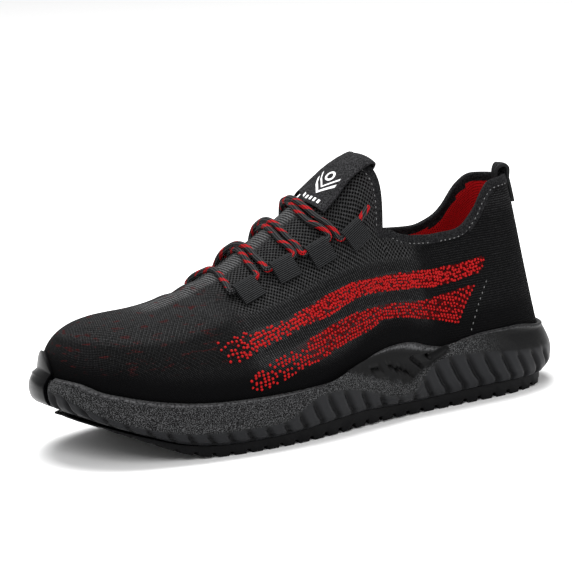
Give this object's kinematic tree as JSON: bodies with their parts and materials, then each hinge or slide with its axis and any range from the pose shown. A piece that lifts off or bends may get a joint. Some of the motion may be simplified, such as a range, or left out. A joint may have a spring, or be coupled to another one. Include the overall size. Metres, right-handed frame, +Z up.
{
  "type": "safety sneaker",
  "caption": "Low knitted work sneaker, left foot, with a bootie upper, webbing lace loops, heel pull loop, rubber toe guard and a ribbed cup sole with cross lugs.",
  "frame": {"origin": "on the floor, under the middle of the shoe's length and width", "axes": "+Z up from the floor; the toe points to -X and the heel to +X; the outer side of the foot is -Y and the inner side +Y"},
  "size_m": [0.2955, 0.108, 0.1291],
  "materials": {
    "tread": "matt moulded rubber",
    "sole": "satin foam rubber with a grained band",
    "guard": "glossy rubber",
    "footbed": "fabric-covered foam",
    "knit": "open knit with raised red stitches",
    "label": "woven strap",
    "webbing": "ribbed webbing",
    "lace": "braided round cord, black with red"
  },
  "bodies": {
    "root": {"outsole": "tread", "midsole": "sole", "toe_guard": "guard", "insole": "footbed", "upper": "knit", "tongue_label": "label", "pull_loop": "webbing", "lace_loop_outer_1": "webbing", "lace_loop_outer_2": "webbing", "lace_loop_outer_3": "webbing", "lace_loop_outer_4": "webbing", "lace_loop_inner_1": "webbing", "lace_loop_inner_2": "webbing", "lace_loop_inner_3": "webbing", "lace_loop_inner_4": "webbing", "lace_bar": "lace", "lace_crossing_1": "lace", "lace_crossing_2": "lace", "lace_crossing_3": "lace"}
  },
  "joints": []
}
